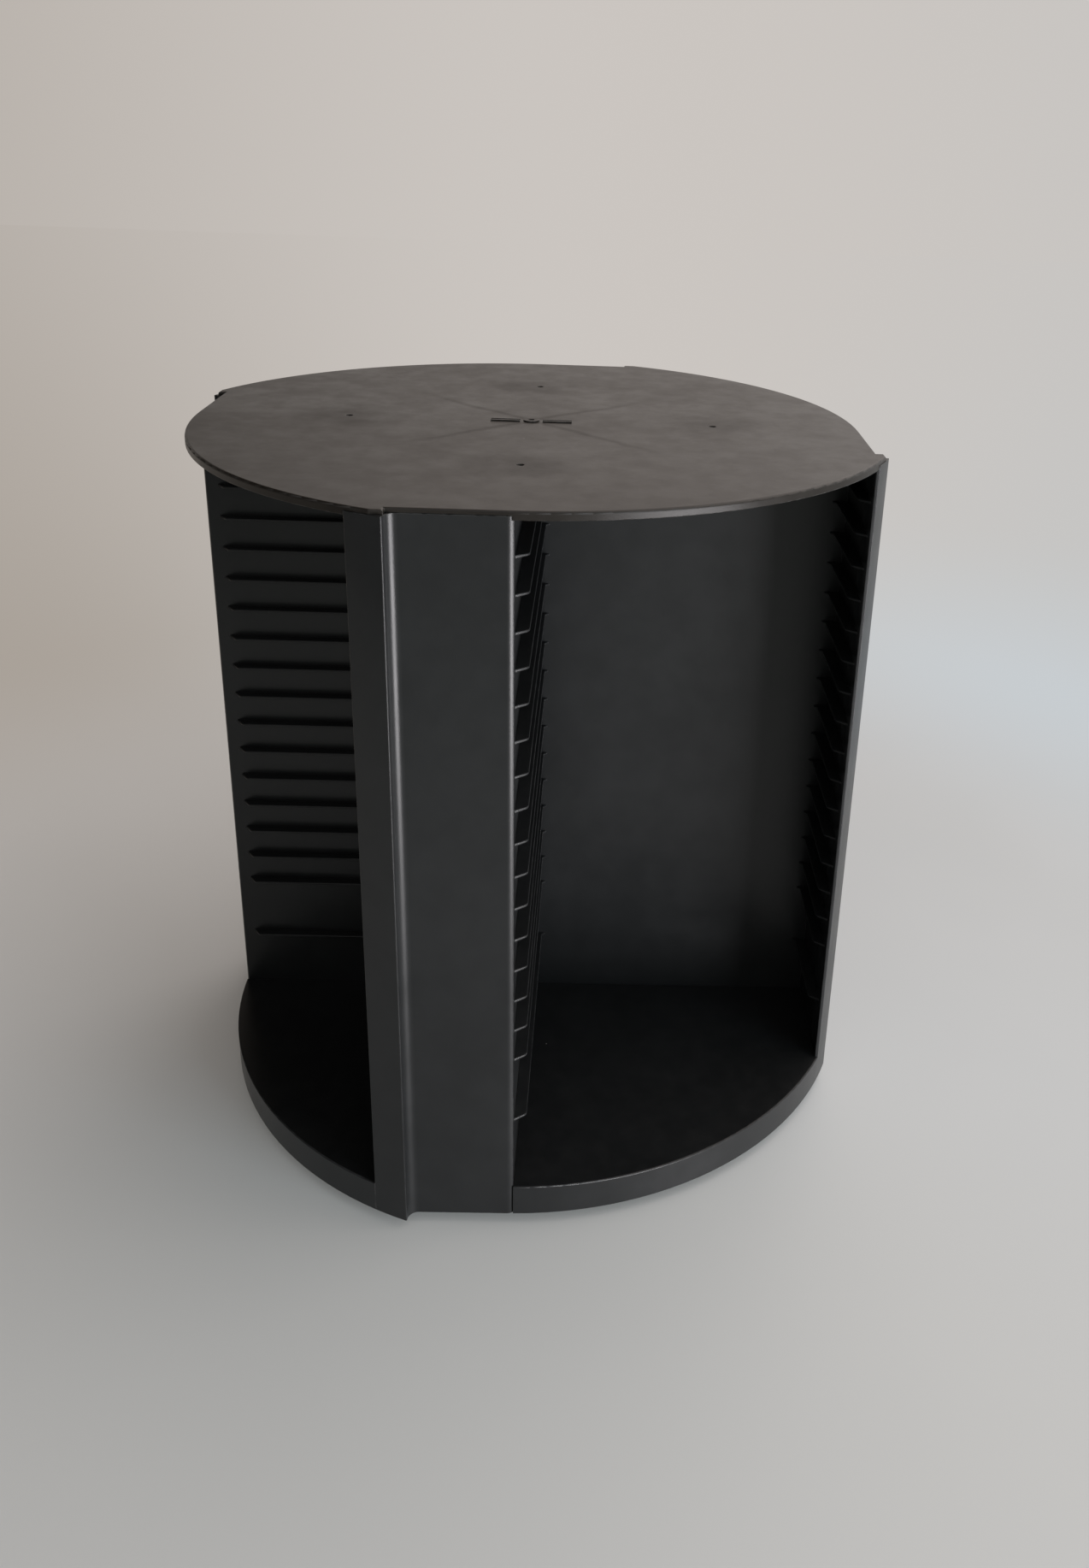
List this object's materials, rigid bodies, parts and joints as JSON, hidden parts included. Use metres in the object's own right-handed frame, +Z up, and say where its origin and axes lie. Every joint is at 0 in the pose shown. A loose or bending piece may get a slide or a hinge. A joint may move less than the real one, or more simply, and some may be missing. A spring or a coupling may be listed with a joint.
{
  "type": "revolving disc rack",
  "caption": "Revolving pinwheel rack for disc cases with ribbed slots in its open compartments, a flat top and a hidden ball-bearing foot.",
  "frame": {"origin": "on the turning axis, at the surface that the rack stands on", "axes": "+Z up along the turning axis, -Y out of compartment 1's open front"},
  "size_m": [0.271, 0.271, 0.285],
  "materials": {
    "shell_plastic": "satin black, fine spark grain",
    "top_plastic": "satin black, dusty, with weld lines",
    "foot_plastic": "matt black",
    "bush_plastic": "natural acetal",
    "pad_rubber": "matt",
    "bearing_steel": "polished",
    "zinc_steel": "zinc plated"
  },
  "bodies": {
    "foot": {"foot_plate": "foot_plastic", "centre_bush": "bush_plastic", "rubber_foot_1": "pad_rubber", "rubber_foot_2": "pad_rubber", "rubber_foot_3": "pad_rubber", "rubber_foot_4": "pad_rubber"},
    "ball_ring": {"ball_cage": "bush_plastic", "bearing_balls": "bearing_steel"},
    "rack": {"base_tray": "shell_plastic", "top_plate": "top_plastic", "pivot_screw": "zinc_steel", "pivot_washer": "zinc_steel", "column_1": "shell_plastic", "column_2": "shell_plastic", "column_3": "shell_plastic", "column_4": "shell_plastic", "slot_ribs_1": "shell_plastic", "slot_ribs_2": "shell_plastic", "slot_ribs_3": "shell_plastic", "slot_ribs_4": "shell_plastic"}
  },
  "joints": [
    {"name": "rack_turn", "type": "hinge", "parent": "foot", "child": "rack", "pos_m": [0, 0, 0.0095], "axis": [0, 0, 1], "continuous": true},
    {"name": "ball_ring_roll", "type": "hinge", "parent": "foot", "child": "ball_ring", "pos_m": [0, 0, 0.0095], "axis": [0, 0, 1], "continuous": true}
  ],
  "couplings": [
    {"joint": "ball_ring_roll", "follows": "rack_turn", "ratio": 0.5}
  ]
}
